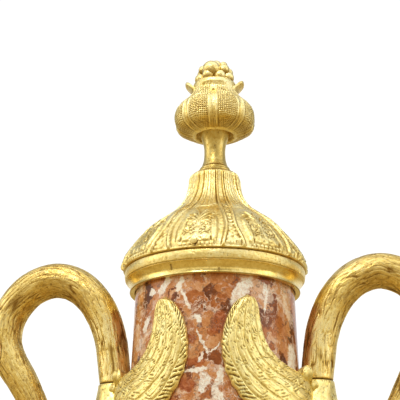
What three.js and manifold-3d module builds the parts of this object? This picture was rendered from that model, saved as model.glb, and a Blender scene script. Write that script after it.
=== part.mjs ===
// Mantel urn: a gilt-bronze mounted marble cassolette with a lift-off lid, on its plinth.
// Two swans hold the sides, their looped necks are the handles. Millimetres, +Z up,
// origin in the middle of the underside, handles along X, front towards -Y.
import * as THREE from 'three';
import { mergeVertices } from 'three/addons/utils/BufferGeometryUtils.js';
import { ParametricGeometry } from 'three/addons/geometries/ParametricGeometry.js';
import Module from 'manifold-3d';

const wasm = await Module();
wasm.setup();

// ---- sizes ----
const SIDES = 40; // facets round the turned pieces
const GAP = 0.35; // clearance between curved pieces that touch
const SLIVER = 0.06; // edges shorter than this are closed up after a cut

const BASE_SIZE = 126; // bronze plate under the plinth
const BASE_TOP = 6;
const PLINTH_SIZE = 112;
const PLINTH_TOP = 40;
const FOOT_TOP = 94;
const CALYX_FLOOR = 101; // where the marble stands inside its calyx
const CALYX_TOP = 124;
const CALYX_LEAVES = 10;

const RIM_TOP = 274; // top of the marble wall
const COLLAR_LIP = 270.2; // lower edge of the polished collar
const COLLAR_TOP = 278.3; // face that the lid rests on
const LID_WALL = 3.6;
const LID_REPEATS = 8; // ribbed strips round the lid
const LID_TURN = 17.5; // degrees from the front to the first strip
const FINIAL_SEAT = 355;

const BUD_LOBES = 8;
const BUD_TURN = 3.5; // degrees from the front to the first rib
const NECK_SEAT = 213; // seam between each swan's breast and its neck
const WING_FEATHERS = 5;

// Turned profiles, [radius, height], each read from the bottom upwards.
const MARBLE_OUT = [
  [21, CALYX_FLOOR], [36, 109.5], [47, 126], [52.6, 145], [55, 170], [54.6, 194],
  [53.4, 217], [51.6, RIM_TOP],
];
const MARBLE_IN = [[24, 115], [39, 134], [43.6, 172], [41.4, RIM_TOP]];

const COLLAR = [
  [52.05, COLLAR_LIP], [54.8, COLLAR_LIP], [55.7, 272], [55.3, 275.4], [58.4, COLLAR_TOP],
  [43, COLLAR_TOP], [43, RIM_TOP], [52.05, RIM_TOP],
];

const LID_OUT = [
  [58.7, COLLAR_TOP], [59.4, 283.1], [60.9, 284.3], [60.6, 289.6], [54.6, 299.5],
  [46.4, 310.3], [36.2, 319.2], [25.6, 327.8], [19.4, 337.6], [17, 346],
  [16.4, 352], [11.6, FINIAL_SEAT],
];

const STEM = [
  [10.7, FINIAL_SEAT], [10.9, 357.4], [8.7, 360], [7.6, 367], [7.6, 376], [9.4, 385],
];

const BUD = [
  [9, 384], [18.6, 381.2], [24.4, 385], [27.4, 391], [27.6, 397], [24.8, 403],
  [20.2, 408], [16.8, 413.4], [16.8, 419], [14.2, 422.8], [10, 424],
];

const FOOT = [
  [46, PLINTH_TOP], [49, 43.4], [49, 49], [44.4, 53.4], [38, 56], [25.6, 64],
  [17.6, 75], [16.4, 82], [20, 84.6], [20, 88], [15.6, FOOT_TOP],
];

const CALYX = [[17, FOOT_TOP], [24, 96.2], [37, 102.6], [47.4, 113], [52.6, CALYX_TOP]];

// Centre line of a handle from the breast to the bill: [x, z, radius in the plane of the
// handle, radius across it].
const NECK_PATH = [
  [63.9, NECK_SEAT + GAP, 10.2, 10.2], [65.6, 227, 10.4, 10.4], [67.9, 241.5, 10.6, 10.6],
  [72.6, 256, 10.9, 10.9], [81, 270, 11.2, 11.2], [92.5, 279.8, 11.5, 11.4],
  [106, 283.5, 11.6, 11.5], [120, 279.6, 11.5, 11.4], [131.6, 269, 11.3, 11.2],
  [138, 255.6, 11.1, 11], [138.6, 242, 10.9, 10.8], [134, 230, 10.5, 10.4],
  [126.2, 218, 10, 9.8], [119, 205.6, 9.1, 8.9], [112.4, 194.6, 8.2, 7.8],
  [106.4, 185.8, 8.4, 7.6], [100.8, 178.8, 10.2, 8.8], [95.8, 173, 10.2, 8.8],
  [91.2, 167.2, 6.6, 6], [87, 161.8, 3.9, 4.4], [82.9, 157, 2.4, 3.2],
];

// The breast of a swan against the marble: [height, middle in x, half depth, half width].
const BREAST = [
  [NECK_SEAT, 63.9, 10.9, 10.9], [205, 62.4, 13.4, 14.6], [193, 59.5, 19, 20.5],
  [178, 57, 24.5, 24], [162, 54.5, 25.5, 23.5], [148, 51, 23, 19.5], [136, 47.6, 15.5, 12.5],
  [128.5, 47.5, 9.4, 6],
];

// Edges of a wing on the marble: [angle from the handle's axis in degrees, height],
// from the shoulder to the tip.
const WING_UPPER = [
  [9, 212.6], [21, 215.6], [32, 218], [41, 221.8], [48, 227.6], [52, 236.4], [55.4, 247],
  [61, 257.8],
];
const WING_LOWER = [
  [14, 166], [33, 172], [51, 182.5], [66.4, 193.4], [76, 207.6], [80, 224.6], [75.6, 243.4],
  [61.6, 258.2],
];

// ---- colours of the pieces ----
const gilt = () => new THREE.MeshStandardMaterial({ color: 0xd9b457, roughness: 0.5, metalness: 1 });
const polished = () => new THREE.MeshStandardMaterial({ color: 0xc79c3c, roughness: 0.2, metalness: 1 });
const marble = () => new THREE.MeshStandardMaterial({ color: 0xa65a41, roughness: 0.2, metalness: 0 });

// ---- helpers ----
const clamp01 = (x) => Math.min(1, Math.max(0, x));
const smooth = (x) => clamp01(x) ** 2 * (3 - 2 * clamp01(x));

/** Shares corners, drops slivers and turns the faces outwards. */
function welded(geometry) {
  let g = geometry.clone();
  for (const name of ['normal', 'uv', 'color']) g.deleteAttribute(name);
  if (!g.index) g = mergeVertices(g, 1e-4);
  g = mergeVertices(g, 1e-4);
  const p = g.attributes.position;
  const kept = [];
  let volume = 0;
  const a = new THREE.Vector3();
  const b = new THREE.Vector3();
  const c = new THREE.Vector3();
  for (let i = 0; i < g.index.count; i += 3) {
    const [i0, i1, i2] = [0, 1, 2].map((k) => g.index.getX(i + k));
    if (i0 === i1 || i1 === i2 || i2 === i0) continue;
    kept.push(i0, i1, i2);
    a.fromBufferAttribute(p, i0);
    b.fromBufferAttribute(p, i1);
    c.fromBufferAttribute(p, i2);
    volume += a.dot(b.cross(c));
  }
  if (volume < 0) {
    for (let i = 0; i < kept.length; i += 3) {
      [kept[i + 1], kept[i + 2]] = [kept[i + 2], kept[i + 1]];
    }
  }
  g.setIndex(kept);
  return g;
}

/** A closed geometry as a solid for cutting and joining. */
function solid(geometry) {
  const g = welded(geometry);
  const vertProperties = new Float32Array(g.attributes.position.array);
  const triVerts = new Uint32Array(g.index.array);
  return new wasm.Manifold(new wasm.Mesh({ numProp: 3, vertProperties, triVerts }));
}

/** A solid back to a geometry, without the hair-thin slivers that a cut leaves. */
function shell(manifold) {
  const m = manifold.simplify(SLIVER).getMesh();
  const g = new THREE.BufferGeometry();
  g.setAttribute('position', new THREE.BufferAttribute(new Float32Array(m.vertProperties), 3));
  g.setIndex(new THREE.BufferAttribute(new Uint32Array(m.triVerts), 1));
  return g;
}

/** Turns a profile round Z; the list starts and ends on the axis or closes on itself. */
function turned(profile, sides = SIDES) {
  const points = profile.map(([r, z]) => new THREE.Vector2(r, z));
  return welded(new THREE.LatheGeometry(points, sides).rotateX(Math.PI / 2));
}

const toAxis = (profile) => [[0, profile[0][1]], ...profile, [0, profile[profile.length - 1][1]]];
const closed = (profile) => [...profile, profile[0]];

/** Moves an outline read from the bottom upwards sideways along its normals. */
function offset(profile, distance) {
  return profile.map(([r, z], i) => {
    const before = profile[Math.max(i - 1, 0)];
    const after = profile[Math.min(i + 1, profile.length - 1)];
    const run = new THREE.Vector2(after[0] - before[0], after[1] - before[1]).normalize();
    return [r + run.y * distance, z - run.x * distance];
  });
}

/** Radius of an outline at a height, by straight lines between its points. */
function radiusAt(profile, z) {
  for (let i = 1; i < profile.length; i += 1) {
    const [r0, z0] = profile[i - 1];
    const [r1, z1] = profile[i];
    if (z <= z1) return r0 + (r1 - r0) * clamp01((z - z0) / (z1 - z0));
  }
  return profile[profile.length - 1][0];
}

/** A round surface from rows of points, closed by a point at both ends. */
function skin(rows, around, place) {
  return welded(new ParametricGeometry((u, v, target) => {
    const row = Math.round(v * (rows + 1));
    const step = Math.round(u * around) % around;
    place(row, step, target);
  }, around, rows + 1));
}

// ---- the pieces ----
/** Stepped bronze plate under the plinth. */
function basePlate() {
  const half = BASE_SIZE / 2;
  const profile = [[half - 0.6, 0], [half, 0.6], [half, 3.2], [half - 3, 4.2], [half - 4, BASE_TOP]];
  return skin(profile.length, 4, (row, step, target) => {
    const [r, z] = profile[Math.min(Math.max(row - 1, 0), profile.length - 1)];
    const reach = row === 0 || row === profile.length + 1 ? 0 : r * Math.SQRT2;
    const angle = Math.PI / 4 + step * Math.PI / 2;
    target.set(reach * Math.cos(angle), reach * Math.sin(angle), z);
  });
}

function plinth() {
  return new THREE.BoxGeometry(PLINTH_SIZE, PLINTH_SIZE, PLINTH_TOP - BASE_TOP)
    .translate(0, 0, (PLINTH_TOP + BASE_TOP) / 2);
}

const foot = () => turned(toAxis(FOOT), 24);

/** Cup of broad leaves under the marble, hollowed to its shape. */
function calyx() {
  const leaf = SIDES / CALYX_LEAVES;
  const outer = skin(CALYX.length, SIDES, (row, step, target) => {
    const [r, z] = CALYX[Math.min(Math.max(row - 1, 0), CALYX.length - 1)];
    const pole = row === 0 || row === CALYX.length + 1;
    const rise = clamp01((z - FOOT_TOP) / (CALYX_TOP - FOOT_TOP));
    const vein = 0.5 + 0.5 * Math.cos(2 * Math.PI * step / leaf);
    const reach = pole ? 0 : r * (1 - 0.05 * rise * (1 - vein));
    const tip = pole ? 0 : -4.5 * (1 - vein) * smooth((rise - 0.5) * 2);
    const angle = 2 * Math.PI * step / SIDES;
    target.set(reach * Math.cos(angle), reach * Math.sin(angle), z + tip);
  });
  const room = offset(MARBLE_OUT, GAP).filter(([, z]) => z < CALYX_TOP + 20);
  room[0] = [MARBLE_OUT[0][0] + GAP, CALYX_FLOOR];
  return shell(solid(outer).subtract(solid(turned(toAxis(room)))));
}

/** The urn's body: a turned marble wall, open at the top and empty. */
function marbleBody() {
  const inside = [...MARBLE_IN].reverse();
  return turned([[0, CALYX_FLOOR], ...MARBLE_OUT, ...inside, [0, MARBLE_IN[0][1]]]);
}

const rimCollar = () => turned(closed(COLLAR));

/** Half the width in degrees of a lid strip at a height: narrow at the lid's shoulder. */
const stripHalf = (z) => 3 + 3.2 * smooth((303 - z) / 18) + 3.5 * smooth((z - 303) / 34);

/** The domed lid: strips between raised ribs, with leafy panels, and a thin even wall. */
function lidDome() {
  const relief = [1, 0.25, 1, 0, 0.65, 0.35, 0.35, 0.65, 0];
  const around = LID_REPEATS * relief.length;
  const outer = skin(LID_OUT.length, around, (row, step, target) => {
    const i = Math.min(Math.max(row - 1, 0), LID_OUT.length - 1);
    const [r, z] = LID_OUT[i];
    const half = stripHalf(z);
    const spots = [-half, 0, half, half + 2.4, 12.5, 19, 26, 32.5, 45 - half - 2.4];
    const pole = row === 0 || row === LID_OUT.length + 1;
    const carved = i > 1 && i < LID_OUT.length - 1 ? 1 : 0;
    const depth = carved * Math.min(1.7, 0.07 * r);
    const reach = pole ? 0 : r - depth * (1 - relief[step % relief.length]);
    const repeat = Math.floor(step / relief.length) * 360 / LID_REPEATS;
    const turn = LID_TURN - 90 + repeat + spots[step % relief.length];
    const angle = THREE.MathUtils.degToRad(turn);
    target.set(reach * Math.cos(angle), reach * Math.sin(angle), z);
  });
  const vault = offset(LID_OUT.slice(4, -1), -LID_WALL - 1.4).filter((p, i) => i !== 4);
  const inner = [[53.6, COLLAR_TOP - 2], [53.6, 289], ...vault];
  return shell(solid(outer).subtract(solid(turned(toAxis(inner), 20))));
}

/** Fruit finial: a lobed bud with curled tips and berries, on a turned stem. */
function finial() {
  const lobe = SIDES / BUD_LOBES;
  const bud = skin(BUD.length, SIDES, (row, step, target) => {
    const i = Math.min(Math.max(row - 1, 0), BUD.length - 1);
    const [r, z] = BUD[i];
    const pole = row === 0 || row === BUD.length + 1;
    const swell = Math.abs(Math.sin(Math.PI * step / lobe));
    const low = smooth((402 - z) / 20);
    const curl = Math.exp(-(((z - 419.2) / 2.4) ** 2)) * (1 - swell) ** 2;
    const reach = pole ? 0 : r * (1 + (0.02 + 0.07 * low) * (swell - 0.6)) + 2.9 * curl;
    const angle = 2 * Math.PI * step / SIDES + THREE.MathUtils.degToRad(BUD_TURN - 90);
    target.set(reach * Math.cos(angle), reach * Math.sin(angle), z);
  });
  let piece = solid(bud).add(solid(turned(toAxis(STEM), 16)));
  const berry = (x, y, z, r) => solid(new THREE.OctahedronGeometry(r, 1).translate(x, y, z));
  piece = piece.add(berry(0, 0, 429, 9.8));
  for (let k = 0; k < 5; k += 1) {
    const angle = Math.PI / 2 + k * 2 * Math.PI / 5;
    piece = piece.add(berry(8 * Math.cos(angle), 8 * Math.sin(angle), 427.6, 4.6));
  }
  for (let k = 0; k < 3; k += 1) {
    const angle = -Math.PI / 2 + k * 2 * Math.PI / 3;
    piece = piece.add(berry(4.4 * Math.cos(angle), 4.4 * Math.sin(angle), 434.6, 4.2));
  }
  return shell(piece.add(berry(0, 0.6, 436.8, 3.9)));
}

/** A swan's neck, looped into a handle, with the head bent back to the breast. */
function swanNeck(side) {
  const around = 10;
  const fine = 24;
  const middle = new THREE.CatmullRomCurve3(
    NECK_PATH.map(([x, z]) => new THREE.Vector3(x, 0, z)), false, 'centripetal');
  const thick = new THREE.CatmullRomCurve3(
    NECK_PATH.map(([, , a, b], i) => new THREE.Vector3(a, b, 4 * i)), false, 'centripetal');
  const at = (row) => clamp01((row - 1) / (fine - 1));
  return skin(fine, around, (row, step, target) => {
    const t = at(row);
    const c = middle.getPoint(t);
    const run = middle.getTangent(t);
    if (row <= 1) run.set(0, 0, 1);
    const out = new THREE.Vector3(run.z, 0, -run.x);
    const size = thick.getPoint(t);
    const pole = row === 0 || row === fine + 1 ? 0 : 1;
    const angle = 2 * Math.PI * step / around;
    c.addScaledVector(out, pole * size.x * Math.cos(angle));
    c.y += pole * size.y * Math.sin(angle);
    target.set(side * c.x, c.y, c.z);
  });
}

/** One wing: long feathers in a sweep over the marble, thick at the shoulder. */
function wing(side, front) {
  const stations = 11;
  const across = 2 * WING_FEATHERS;
  const loop = across + 3;
  const edge = (points) => new THREE.SplineCurve(points.map((p) => new THREE.Vector2(...p)));
  const upper = edge(WING_UPPER);
  const lower = edge(WING_LOWER);
  return skin(stations, loop, (row, step, target) => {
    const s = clamp01((row - 1) / (stations - 1));
    const back = step > across;
    const t = back ? 1 - (step - across) / 3 : step / across;
    const pole = row === 0 || row === stations + 1;
    const p = upper.getPoint(s).lerp(lower.getPoint(s), pole ? 0.5 : t);
    const edgeward = Math.sin(Math.PI * t);
    const ridge = step % 2 === 0 ? -0.45 : 0.45;
    const body = 2.4 + 6.4 * (1 - smooth(s * 2.4)) + 1.4 * edgeward;
    let lift = body + (t > 0 && t < 1 ? ridge : -0.8);
    if (back) lift = -2.5;
    if (pole) lift = body / 2;
    const angle = THREE.MathUtils.degToRad(p.x);
    const reach = radiusAt(MARBLE_OUT, p.y) + lift;
    target.set(side * reach * Math.cos(angle), -front * reach * Math.sin(angle), p.y);
  });
}

/** A swan's breast and its two wings, cast as one and hollowed to sit on the marble. */
function swanBody(side) {
  const around = 12;
  const breast = skin(BREAST.length, around, (row, step, target) => {
    const [z, x, depth, width] = BREAST[Math.min(Math.max(row - 1, 0), BREAST.length - 1)];
    const pole = row === 0 || row === BREAST.length + 1 ? 0 : 1;
    const angle = 2 * Math.PI * step / around;
    target.set(side * (x + pole * depth * Math.cos(angle)), pole * width * Math.sin(angle), z);
  });
  const room = offset(MARBLE_OUT, GAP);
  room[0][1] -= 5;
  room.push([room[room.length - 1][0], RIM_TOP + 10]);
  const bird = solid(breast).add(solid(wing(side, 1))).add(solid(wing(side, -1)));
  return shell(bird.subtract(solid(turned(toAxis(room)))));
}

// ---- the object ----
const group = new THREE.Group();

function add(name, geometry, material) {
  const mesh = new THREE.Mesh(geometry, material);
  mesh.name = name;
  group.add(mesh);
}

add('base_plate', basePlate(), gilt());
add('plinth', plinth(), marble());
add('foot', foot(), gilt());
add('calyx', calyx(), gilt());
add('marble_body', marbleBody(), marble());
add('rim_collar', rimCollar(), polished());
add('lid_dome', lidDome(), gilt());
add('finial', finial(), gilt());
for (const [name, side] of [['left', -1], ['right', 1]]) {
  add(`swan_body_${name}`, swanBody(side), gilt());
  add(`swan_neck_${name}`, swanNeck(side), gilt());
}

export default group;
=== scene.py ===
import math

import bpy
import numpy as np
from mathutils import Matrix, Vector


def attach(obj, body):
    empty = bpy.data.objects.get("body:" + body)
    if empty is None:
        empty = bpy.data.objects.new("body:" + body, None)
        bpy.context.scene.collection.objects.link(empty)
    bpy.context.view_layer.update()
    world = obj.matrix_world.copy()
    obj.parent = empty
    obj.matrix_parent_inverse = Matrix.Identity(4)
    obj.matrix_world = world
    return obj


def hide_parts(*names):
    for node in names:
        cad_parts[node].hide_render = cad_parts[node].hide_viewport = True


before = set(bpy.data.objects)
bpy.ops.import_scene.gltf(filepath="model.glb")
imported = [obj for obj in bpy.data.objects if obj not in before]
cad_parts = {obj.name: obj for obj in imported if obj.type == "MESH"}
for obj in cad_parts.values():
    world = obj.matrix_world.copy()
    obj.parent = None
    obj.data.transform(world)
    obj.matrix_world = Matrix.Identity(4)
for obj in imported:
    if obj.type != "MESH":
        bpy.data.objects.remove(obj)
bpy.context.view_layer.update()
scene = bpy.context.scene

MM = 0.001
FRONT = -90.0

# ---- sizes in millimetres, as in the solids ----
BASE_SIZE = 126.0
BASE_TOP = 6.0
PLINTH_SIZE = 112.0
PLINTH_TOP = 40.0
FOOT_TOP = 94.0
LAUREL_LEAVES = 30
CALYX_FLOOR = 101.0
CALYX_TOP = 124.0
CALYX_LEAVES = 10
RIM_TOP = 274.0
COLLAR_LIP = 270.2
COLLAR_TOP = 278.3
COLLAR_BORE = 52.05
SEAT_BORE = 43.0
LID_REPEATS = 8
LID_PANEL = 360 / LID_REPEATS
LID_TURN = 17.5
FINIAL_SEAT = 355.0
BUD_LOBES = 8
BUD_LOBE = 360 / BUD_LOBES
BUD_TURN = 3.5
WING_FEATHERS = 5

MARBLE_OUT = [(21, 101), (36, 109.5), (47, 126), (52.6, 145), (55, 170), (54.6, 194),
              (53.4, 217), (51.6, 274)]
MARBLE_IN = [(41.4, 274), (43.6, 172), (39, 134), (24, 115)]
NECK_PATH = [
    (63.9, 213.35, 10.2, 10.2), (65.6, 227, 10.4, 10.4), (67.9, 241.5, 10.6, 10.6),
    (72.6, 256, 10.9, 10.9), (81, 270, 11.2, 11.2), (92.5, 279.8, 11.5, 11.4),
    (106, 283.5, 11.6, 11.5), (120, 279.6, 11.5, 11.4), (131.6, 269, 11.3, 11.2),
    (138, 255.6, 11.1, 11), (138.6, 242, 10.9, 10.8), (134, 230, 10.5, 10.4),
    (126.2, 218, 10, 9.8), (119, 205.6, 9.1, 8.9), (112.4, 194.6, 8.2, 7.8),
    (106.4, 185.8, 8.4, 7.6), (100.8, 178.8, 10.2, 8.8), (95.8, 173, 10.2, 8.8),
    (91.2, 167.2, 6.6, 6), (87, 161.8, 3.9, 4.4), (82.9, 157, 2.4, 3.2)]
BREAST = [(213, 63.9, 10.9, 10.9), (205, 62.4, 13.4, 14.6), (193, 59.5, 19, 20.5),
          (178, 57, 24.5, 24), (162, 54.5, 25.5, 23.5), (148, 51, 23, 19.5),
          (136, 47.6, 15.5, 12.5), (128.5, 47.5, 9.4, 6)]
WING_UPPER = [(9, 212.6), (21, 215.6), (32, 218), (41, 221.8), (48, 227.6), (52, 236.4),
              (53.8, 245), (54.8, 251), (57, 255.4), (61, 257.7)]
WING_LOWER = [(14, 166), (33, 172), (51, 182.5), (66.4, 193.4), (76, 207.6), (80, 224.6),
              (78, 238.5), (74.2, 247.6), (69.6, 253.6), (62.6, 257.9)]

# ---- colours and places for the finishes ----
# Pale gilding that is mixed in for painted highlights on crests, ridges and other parts made paler.
HIGHLIGHT_GILDING = (1.0, 0.87, 0.47)
BRECCIA_SCALE = 115.0
PATCH_DEPTH = 20.0
# The last pale patch, a tall strip near the marble's right edge, is a painted reflection.
PALE_PATCHES_AND_REFLECTION = [(21.5, 260, 4.2, 12, 32), (35, 257, 1.2, 11, 3), (-26, 265, 2.6, 7, 30),
               (-34, 263.5, 2.2, 2.6, 10), (-16, 265, 2.0, 5, 20), (-5, 243.5, 1.9, 3.2, -10),
               (-38.5, 243.5, 1.8, 5.5, 25), (-1, 229, 1.0, 9, -22), (5, 225, 0.9, 4.8, 42),
               (-5.5, 212.4, 1.5, 8, 78), (8.5, 208, 2.3, 7.5, 8), (-1, 203, 2.6, 6, 15),
               (3, 190, 6, 5, 50), (-12, 256, 1.1, 8, -25), (0, 207, 5.5, 2.2, 60),
               (7, 197, 3.0, 6, -10), (-3, 219.5, 1.4, 3.5, 35), (49.5, 221, 2.6, 13, 4)]
RED_PLACES = [(-5.5, 217, 6.6, 2.4, 4), (-11, 203.5, 6.0, 4.4, 10), (-8, 231.5, 3.0, 3.0, 0),
              (8, 240, 5.5, 8, 20), (27, 247, 4, 8, 10)]


def add_object(name, data):
    """A new object in the scene."""
    made = bpy.data.objects.new(name, data)
    scene.collection.objects.link(made)
    return made


# ---- the camera ----
def make_camera():
    """A long lens set low in front, a little to the right, tilted up at the lid."""
    data = bpy.data.cameras.new("view")
    data.sensor_width = 36.0
    data.lens = 92.52
    data.clip_end = 20.0
    camera = add_object("view", data)
    bpy.context.scene.camera = camera
    side, away, height = math.radians(6.5), 0.65, 0.101
    spin = Matrix.Rotation(side + math.radians(0.88), 4, "Z")
    tilt = Matrix.Rotation(math.radians(90 + 19.9), 4, "X")
    roll = Matrix.Rotation(math.radians(0.25), 4, "Z")
    place = Matrix.Translation((away * math.sin(side), -away * math.cos(side), height))
    camera.matrix_world = place @ spin @ tilt @ roll


make_camera()


# ---- shapes as arrays ----
def ease(x):
    """Rises smoothly from 0 to 1 as x goes from 0 to 1."""
    x = np.clip(x, 0.0, 1.0)
    return x * x * (3 - 2 * x)


def bell(x, width):
    """A rounded ridge: exp(-(x / width) squared)."""
    return np.exp(-(x / width) ** 2)


def steps(count):
    """Even steps from 0 to 1, as a column."""
    return np.linspace(0, 1, count)[:, None]


def angles(count):
    """Angles that part a full turn evenly."""
    return np.arange(count) * 2 * np.pi / count


def polar(r, angle, z):
    """Points at a distance from the upright axis, an angle round it and a height."""
    return np.stack([r * np.cos(angle), r * np.sin(angle), z + 0 * angle], -1)


def two_paces(count, end, begin, rest):
    """A parameter that runs from 0 to end in so many steps, then from begin to 1."""
    return np.r_[np.linspace(0, end, count), np.linspace(begin, 1, rest)]


def run_length(line):
    """How far each point of a line lies along it."""
    return np.r_[0, np.cumsum(np.linalg.norm(np.diff(line, axis=0), axis=1))]


def flow(points, count=30, spread=None):
    """A smooth curve through points: cubic pieces between them, with slopes taken from their
    neighbours and the chord length as its parameter, which spread may give, 0 to 1."""
    p = np.asarray(points, float)
    chord = run_length(p[:, :2])
    slope = np.gradient(p, chord, axis=0)
    at = (np.linspace(0, 1, count) if spread is None else spread) * chord[-1]
    k = np.clip(np.searchsorted(chord, at, side="right") - 1, 0, len(p) - 2)
    step = (chord[k + 1] - chord[k])[:, None]
    t = ((at - chord[k])[:, None]) / step
    h00, h10 = 2 * t**3 - 3 * t**2 + 1, t**3 - 2 * t**2 + t
    h01, h11 = -2 * t**3 + 3 * t**2, t**3 - t**2
    return h00 * p[k] + h10 * step * slope[k] + h01 * p[k + 1] + h11 * step * slope[k + 1]


def corner(*points, cut=0.35, count=4):
    """Straight edges whose inner corners are rounded off: each becomes a short curve between
    points set back by cut along both edges, or less on a short edge."""
    p = np.asarray(points, float)
    out = [p[:1]]
    for k in range(1, len(p) - 1):
        back, on = p[k - 1] - p[k], p[k + 1] - p[k]
        far, near = np.linalg.norm(back), np.linalg.norm(on)
        off = min(cut, 0.45 * far, 0.45 * near)
        a, b = p[k] + off * back / far, p[k] + off * on / near
        t = steps(count)
        out.append((1 - t) ** 2 * a + 2 * t * (1 - t) * p[k] + t**2 * b)
    out.append(p[-1:])
    return np.vstack(out)


def marble_radius(z):
    """The marble's outer radius at a height, along its smooth profile."""
    profile = flow(MARBLE_OUT, 400)
    return np.interp(z, profile[:, 1], profile[:, 0])


def grain(u, v, cells_u, cells_v, seed):
    """Smooth random bumps from -1 to 1: random heights on a lattice of cells_u by cells_v,
    eased between; u and v run from 0 to 1, and u closes on itself."""
    table = np.random.default_rng(seed).uniform(-1, 1, (cells_v + 2, cells_u))
    x, y = (u % 1.0) * cells_u, np.clip(v, 0, 1) * cells_v
    i, j = np.floor(x).astype(int) % cells_u, np.floor(y).astype(int)
    fx, fy = ease(x - np.floor(x)), ease(y - np.floor(y))
    i1 = (i + 1) % cells_u
    low, high = (table[k, i] * (1 - fx) + table[k, i1] * fx for k in (j, j + 1))
    return low * (1 - fy) + high * fy


def crevice(high, reach, gain):
    """How far a relief lies below its neighbours, -1 on crests to 1 in hollows: the mean of four
    points that many steps away, less its own height. Rows close on themselves."""
    rows = np.arange(len(high))
    up, down = np.clip(rows + reach, 0, rows[-1]), np.clip(rows - reach, 0, rows[-1])
    mean = (np.roll(high, reach, 1) + np.roll(high, -reach, 1) + high[up] + high[down]) / 4
    return np.clip(gain * (mean - high), -1, 1)


def pair(a, b):
    """Two coordinates side by side."""
    return np.stack(np.broadcast_arrays(a, b), -1)


def skin(points, hollow=0.0, ring=False):
    """A closed surface from rows of points round it; the first and last rows are capped by a
    point in their middle, or with ring they join each other. hollow is painted light and marks: -1
    for a painted highlight on crests, 0 on plain metal, and up to 1 for painted shade in hollows
    and under parts, and for dark marks and joints."""
    rows, around = points.shape[:2]
    verts = points.reshape(-1, 3)
    shade = np.broadcast_to(hollow, (rows, around)).ravel()
    j = np.arange(around)
    j1 = (j + 1) % around
    i = np.arange(rows if ring else rows - 1)[:, None]
    i1 = (i + 1) % rows
    quads = np.stack([i * around + j, i * around + j1, i1 * around + j1, i1 * around + j], -1)
    left, right, v0, v1 = j / around, (j + 1) / around, i / (rows - 1), (i + 1) / (rows - 1)
    uv = np.stack([pair(left, v0), pair(right, v0), pair(right, v1), pair(left, v1)], -2)
    fans, fan_uv = np.zeros((0, 3), int), np.zeros((0, 3, 2))
    if not ring:
        verts = np.vstack([verts, points[0].mean(0), points[-1].mean(0)])
        shade = np.r_[shade, shade[0], shade[-1]]
        first, last, top = rows * around, rows * around + 1, (rows - 1) * around
        fans = np.r_[np.stack([0 * j + first, j1, j], -1),
                     np.stack([0 * j + last, top + j, top + j1], -1)]
        mid = (j + 0.5) / around
        fan_uv = np.r_[np.stack([pair(mid, 0), pair(right, 0), pair(left, 0)], 1),
                       np.stack([pair(mid, 1), pair(left, 1), pair(right, 1)], 1)]
    quads, uv = quads.reshape(-1, 4), uv.reshape(-1, 4, 2)
    threes = np.r_[quads[:, :3], quads[:, [0, 2, 3]], fans]
    a, b, c = (verts[threes[:, k]] for k in range(3))
    if np.einsum("ij,ij->", a, np.cross(b, c)) < 0:
        quads, uv = quads[:, ::-1], uv[:, ::-1]
        fans, fan_uv = fans[:, ::-1], fan_uv[:, ::-1]
    return {"verts": verts, "quads": quads, "uv": uv, "fans": fans, "fan_uv": fan_uv,
            "hollow": shade}


def turn(profile, around, relief=0.0, hollow=0.0, ring=False):
    """A profile of (radius, height) turned round the upright axis. relief moves each point out
    from the axis."""
    profile = np.asarray(profile, float)
    r = np.broadcast_to(profile[:, :1] + relief, (len(profile), around))
    return skin(polar(r, angles(around), profile[:, 1:2]), hollow, ring)


def make_piece(name, shapes, material, replaces):
    """One mesh object from closed surfaces, in metres, riding on the urn."""
    start = np.r_[0, np.cumsum([len(s["verts"]) for s in shapes])]
    verts = np.vstack([s["verts"] for s in shapes]) * MM
    quads, fans = (np.vstack([s[part] + n for s, n in zip(shapes, start)])
                   for part in ("quads", "fans"))
    loops = np.r_[quads.ravel(), fans.ravel()].astype(np.int32)
    starts = np.r_[4 * np.arange(len(quads)), 4 * len(quads) + 3 * np.arange(len(fans))]
    uv = np.vstack([s[part].reshape(-1, 2) for part in ("uv", "fan_uv") for s in shapes])
    shade = np.concatenate([s["hollow"] for s in shapes])
    mesh = bpy.data.meshes.new(name)
    mesh.vertices.add(len(verts))
    mesh.vertices.foreach_set("co", verts.astype(np.float32).ravel())
    mesh.loops.add(len(loops))
    mesh.loops.foreach_set("vertex_index", loops)
    mesh.polygons.add(len(starts))
    mesh.polygons.foreach_set("loop_start", starts.astype(np.int32))
    mesh.polygons.foreach_set("use_smooth", np.ones(len(starts), bool))
    mesh.uv_layers.new(name="UVMap").data.foreach_set("uv", uv.astype(np.float32).ravel())
    mesh.attributes.new("hollow", "FLOAT", "POINT").data.foreach_set(
        "value", shade.astype(np.float32))
    mesh.update(calc_edges=True)
    mesh.validate()
    mesh.materials.append(material)
    piece = add_object(name, mesh)
    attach(piece, "root")
    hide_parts(replaces)


# ---- the finishes ----
class Field:
    """A value that varies over a surface, out of one node; sums on it add nodes."""

    def __init__(self, tree, socket):
        self.tree, self.socket = tree, socket

    def __add__(self, other):
        return maths("ADD", self, other)

    def __sub__(self, other):
        return maths("SUBTRACT", self, other)

    def __rsub__(self, other):
        return maths("SUBTRACT", other, self)

    def __mul__(self, other):
        return maths("MULTIPLY", self, other)

    def out(self, name):
        """Another output of the same node."""
        return Field(self.tree, self.socket.node.outputs[name])


def feed(value, socket):
    """Links a field to a socket, or sets a plain value on it."""
    if isinstance(value, Field):
        value.tree.links.new(value.socket, socket)
    else:
        socket.default_value = value


def node(tree, kind, output=0, numbered={}, **values):
    """One output of a new node; values fill its settings and its inputs, by name or number."""
    made = tree.nodes.new("ShaderNode" + kind)
    for key, value in values.items():
        if key in made.inputs:
            feed(value, made.inputs[key])
        else:
            setattr(made, key, value)
    for key, value in numbered.items():
        feed(value, made.inputs[key])
    return Field(tree, made.outputs[output])


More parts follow.
